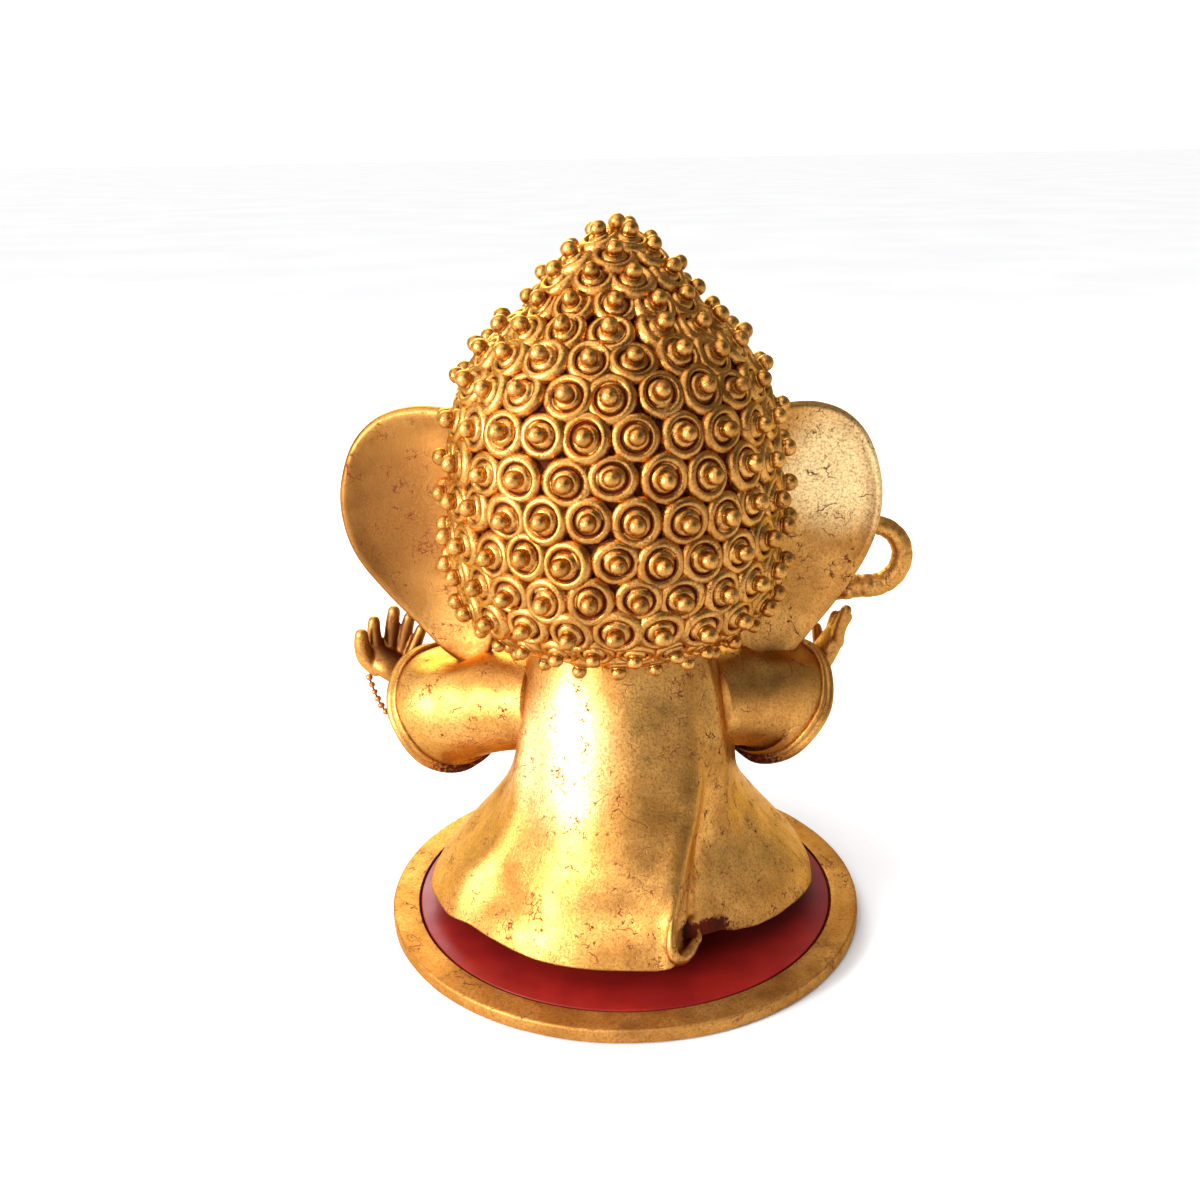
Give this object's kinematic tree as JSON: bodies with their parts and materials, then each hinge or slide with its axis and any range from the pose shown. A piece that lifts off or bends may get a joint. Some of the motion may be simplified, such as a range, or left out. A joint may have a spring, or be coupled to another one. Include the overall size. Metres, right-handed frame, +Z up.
{
  "type": "ganesha idol",
  "caption": "Gilded elephant-headed devotional figure with snail-curl hair, flared robe, wide sleeves and swinging prayer beads, standing on a round lacquered base.",
  "frame": {"origin": "centre of the resting face, the underside of the felt pad", "axes": "+Z up; the figure faces -Y; +X is the figure's left"},
  "size_m": [0.1806, 0.15, 0.2158],
  "materials": {
    "base_disc": "turned wooden disc, gold leaf over red bole",
    "lacquer_disc": "red lacquer, satin gloss",
    "felt_pad": "black felt",
    "armature_rod": "plain steel rod",
    "body_core": "unglazed modelling clay",
    "robe": "modelling clay, satin gold leaf over red bole",
    "sleeve_left": "modelling clay, satin gold leaf over red bole",
    "sleeve_right": "modelling clay, satin gold leaf over red bole",
    "cuff_left": "modelling clay, satin gold leaf over red bole",
    "cuff_right": "modelling clay, satin gold leaf over red bole",
    "hand_left": "modelling clay, satin gold leaf over red bole",
    "hand_right": "modelling clay, satin gold leaf over red bole",
    "foot_left": "modelling clay, satin gold leaf over red bole",
    "foot_right": "modelling clay, satin gold leaf over red bole",
    "head_core": "modelling clay, satin gold leaf over red bole",
    "ear_left": "modelling clay, satin gold leaf over red bole",
    "ear_right": "modelling clay, satin gold leaf over red bole",
    "trunk": "modelling clay, satin gold leaf over red bole",
    "tusk_left": "modelling clay, satin gold leaf over red bole",
    "tusk_right": "modelling clay, satin gold leaf over red bole",
    "eyelid_left": "modelling clay, satin gold leaf over red bole",
    "eyelid_right": "modelling clay, satin gold leaf over red bole",
    "forehead_dot": "modelling clay, satin gold leaf over red bole",
    "topknot_core": "modelling clay, satin gold leaf over red bole",
    "curl_row_1": "modelling clay, satin gold leaf over red bole",
    "curl_row_2": "modelling clay, satin gold leaf over red bole",
    "curl_row_3": "modelling clay, satin gold leaf over red bole",
    "curl_row_4": "modelling clay, satin gold leaf over red bole",
    "curl_row_5": "modelling clay, satin gold leaf over red bole",
    "curl_row_6": "modelling clay, satin gold leaf over red bole",
    "curl_row_7": "modelling clay, satin gold leaf over red bole",
    "curl_row_8": "modelling clay, satin gold leaf over red bole",
    "curl_row_9": "modelling clay, satin gold leaf over red bole",
    "curl_row_10": "modelling clay, satin gold leaf over red bole",
    "topknot_row_1": "modelling clay, satin gold leaf over red bole",
    "topknot_row_2": "modelling clay, satin gold leaf over red bole",
    "topknot_row_3": "modelling clay, satin gold leaf over red bole",
    "finial": "modelling clay, satin gold leaf over red bole",
    "mala_strand": "small gilded beads worn through to red bole, on a thread",
    "guru_bead": "gilded bead worn through to red bole"
  },
  "bodies": {
    "root": {"base_disc": "base_disc", "lacquer_disc": "lacquer_disc", "felt_pad": "felt_pad", "armature_rod": "armature_rod", "body_core": "body_core", "robe": "robe", "sleeve_left": "sleeve_left", "sleeve_right": "sleeve_right", "cuff_left": "cuff_left", "cuff_right": "cuff_right", "hand_left": "hand_left", "hand_right": "hand_right", "foot_left": "foot_left", "foot_right": "foot_right", "head_core": "head_core", "ear_left": "ear_left", "ear_right": "ear_right", "trunk": "trunk", "tusk_left": "tusk_left", "tusk_right": "tusk_right", "eyelid_left": "eyelid_left", "eyelid_right": "eyelid_right", "forehead_dot": "forehead_dot", "topknot_core": "topknot_core", "curl_row_1": "curl_row_1", "curl_row_2": "curl_row_2", "curl_row_3": "curl_row_3", "curl_row_4": "curl_row_4", "curl_row_5": "curl_row_5", "curl_row_6": "curl_row_6", "curl_row_7": "curl_row_7", "curl_row_8": "curl_row_8", "curl_row_9": "curl_row_9", "curl_row_10": "curl_row_10", "topknot_row_1": "topknot_row_1", "topknot_row_2": "topknot_row_2", "topknot_row_3": "topknot_row_3", "finial": "finial"},
    "mala": {"mala_strand": "mala_strand", "guru_bead": "guru_bead"}
  },
  "joints": [
    {"name": "mala_swing", "type": "hinge", "parent": "root", "child": "mala", "pos_m": [0.0744, -0.0308, 0.0672], "axis": [0.9615, 0.2747, 0], "range_deg": [-40, 20]}
  ]
}
